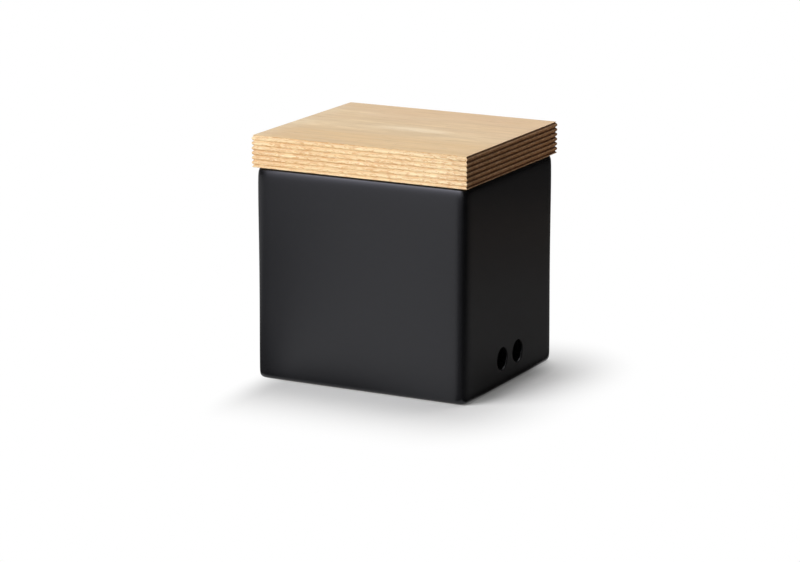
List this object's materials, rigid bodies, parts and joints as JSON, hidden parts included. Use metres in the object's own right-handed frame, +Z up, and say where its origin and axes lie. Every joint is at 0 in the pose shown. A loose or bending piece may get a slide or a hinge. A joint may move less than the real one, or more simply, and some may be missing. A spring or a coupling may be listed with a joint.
{
  "type": "garlic keeper",
  "caption": "Rectangular glazed ceramic pot with vent holes low in its side walls and a ribbed wooden lid that lifts off.",
  "frame": {"origin": "middle of the base, on the surface that the pot stands on", "axes": "+Z up, -Y the front, +X the right-hand side wall with its vent holes"},
  "size_m": [0.132, 0.114, 0.138],
  "materials": {
    "black_glaze": "satin",
    "pale_wood": "oiled",
    "seal": "matt"
  },
  "bodies": {
    "pot": {"ceramic_pot": "black_glaze"},
    "lid": {"lid_front_stave": "pale_wood", "lid_middle_stave": "pale_wood", "lid_back_stave": "pale_wood", "lid_plug": "pale_wood", "lid_seal_ring": "seal"}
  },
  "joints": [
    {"name": "lid_lift", "type": "slide", "parent": "pot", "child": "lid", "axis": [0, 0, 1], "range_m": [0, 0.08]}
  ]
}
